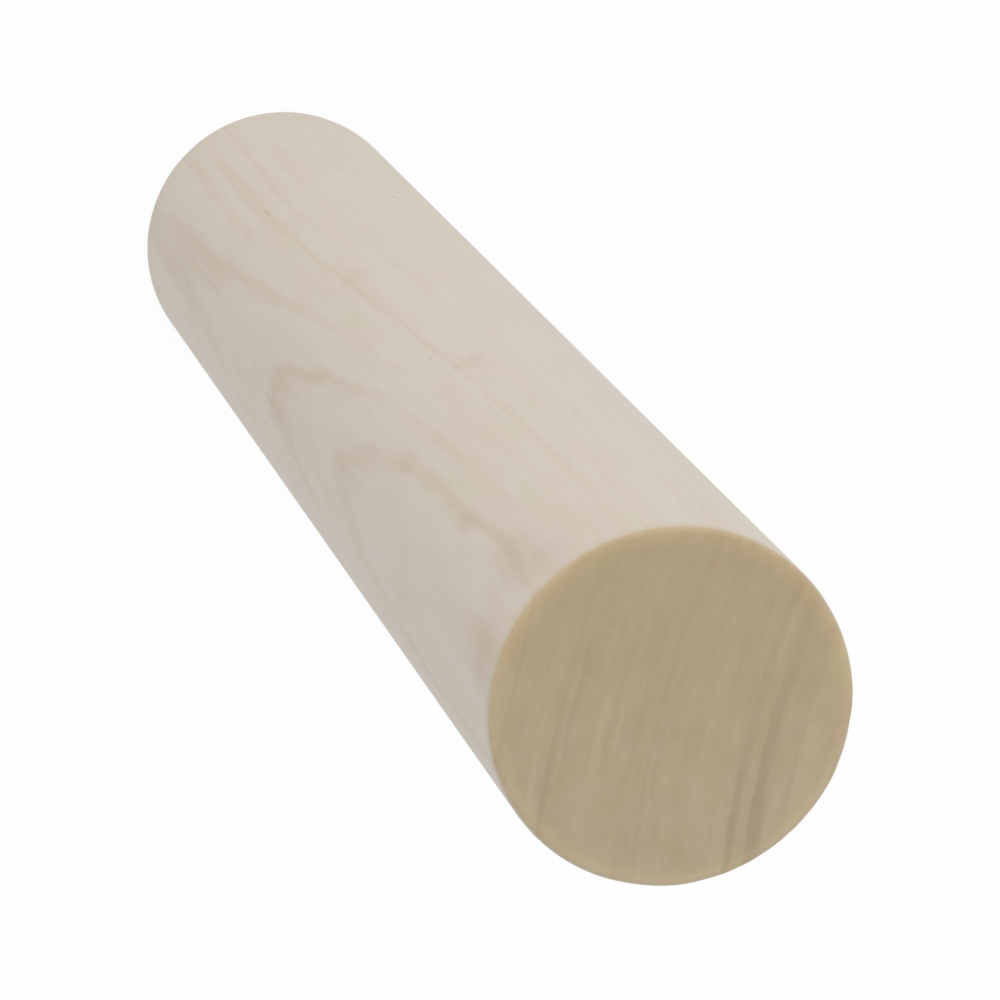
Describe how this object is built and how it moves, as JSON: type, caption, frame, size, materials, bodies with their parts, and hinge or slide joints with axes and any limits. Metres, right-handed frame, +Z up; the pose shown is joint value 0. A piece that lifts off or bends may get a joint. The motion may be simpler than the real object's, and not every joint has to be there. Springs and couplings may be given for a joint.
{
  "type": "wooden dowel rod",
  "caption": "Plain round dowel rod of pale hardwood, sawn square at both ends with lightly eased rims, for joints, spindles and craft work.",
  "frame": {"origin": "centre of the lower end face, on the rod's axis", "axes": "+Z up along the rod's axis, from the end it stands on to the other end; +X and +Y lie in the lower end face, and the rod is round, so they are free"},
  "size_m": [0.0222, 0.0222, 0.1397],
  "materials": {
    "wood": "raw, turned and sanded smooth, matt, with khaki end grain"
  },
  "bodies": {
    "root": {"dowel_rod": "wood"}
  },
  "joints": []
}
